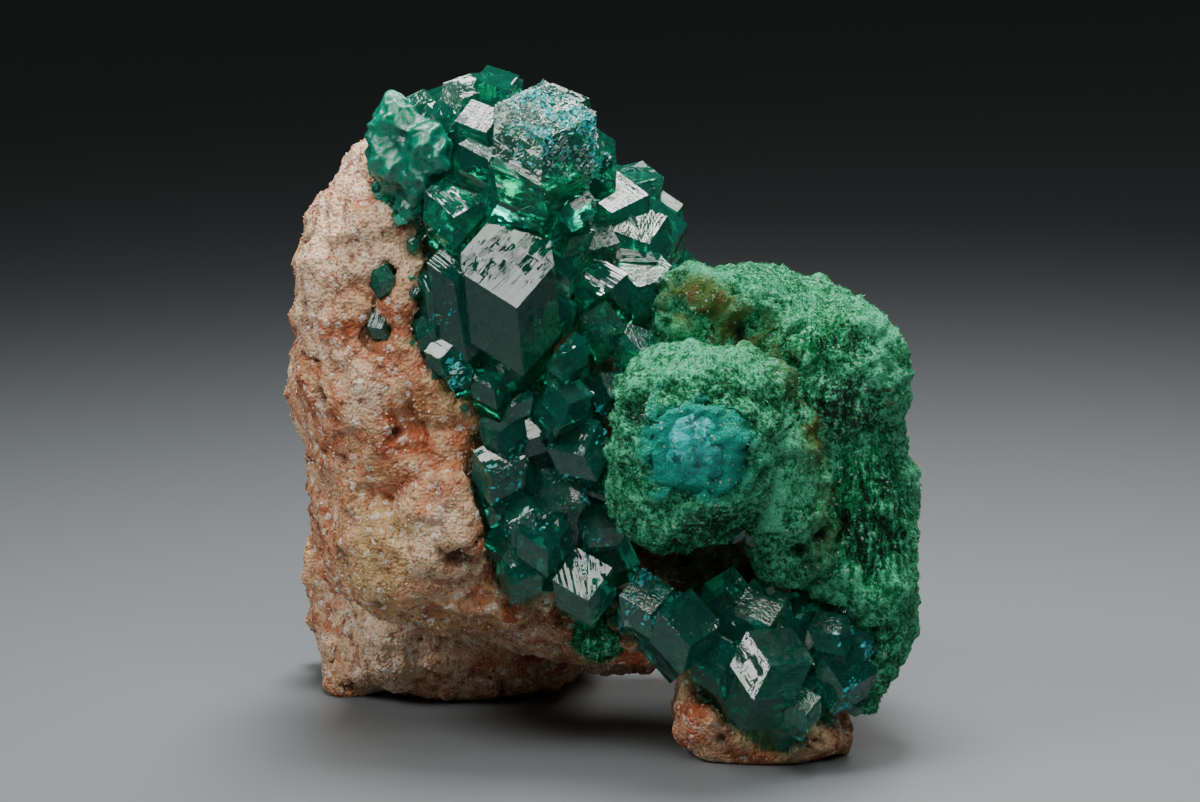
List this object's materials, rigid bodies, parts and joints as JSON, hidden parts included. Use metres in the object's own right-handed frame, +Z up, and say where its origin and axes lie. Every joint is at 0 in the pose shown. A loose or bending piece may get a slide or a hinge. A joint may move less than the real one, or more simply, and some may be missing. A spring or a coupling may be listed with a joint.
{
  "type": "dioptase mineral specimen",
  "caption": "Hand specimen of clustered dark green dioptase crystals on a tall block of granular stone, with a rough malachite lump and a blue chrysocolla patch; rests on two flats.",
  "frame": {"origin": "under the middle of the bounding box, on the plane that the specimen stands on", "axes": "+Z up, the front with the crystals faces -Y, +X to the right seen from the front"},
  "size_m": [0.0282, 0.029, 0.0317],
  "materials": {
    "stone": "granular pinkish brown and cream sandstone, matt with small glittering grains",
    "dioptase": "clear deep emerald green crystal with flat glossy faces, frosted in places",
    "crust": "milky bright teal crystal crust",
    "malachite": "velvety mint to dark green malachite with olive and brown specks",
    "chrysocolla": "bright turquoise blue chrysocolla, waxy with pale streaks"
  },
  "bodies": {
    "root": {"matrix_stone": "stone", "upper_crystals": "dioptase", "main_crystals": "dioptase", "vein_crystals": "dioptase", "lower_crystals": "dioptase", "back_crystals": "dioptase", "teal_crust": "crust", "malachite_lump": "malachite", "chrysocolla_patch": "chrysocolla", "knob_crystals": "dioptase", "malachite_tuft": "malachite", "lone_crystal_upper": "dioptase", "lone_crystal_lower": "dioptase", "lone_crystal_small": "dioptase"}
  },
  "joints": []
}
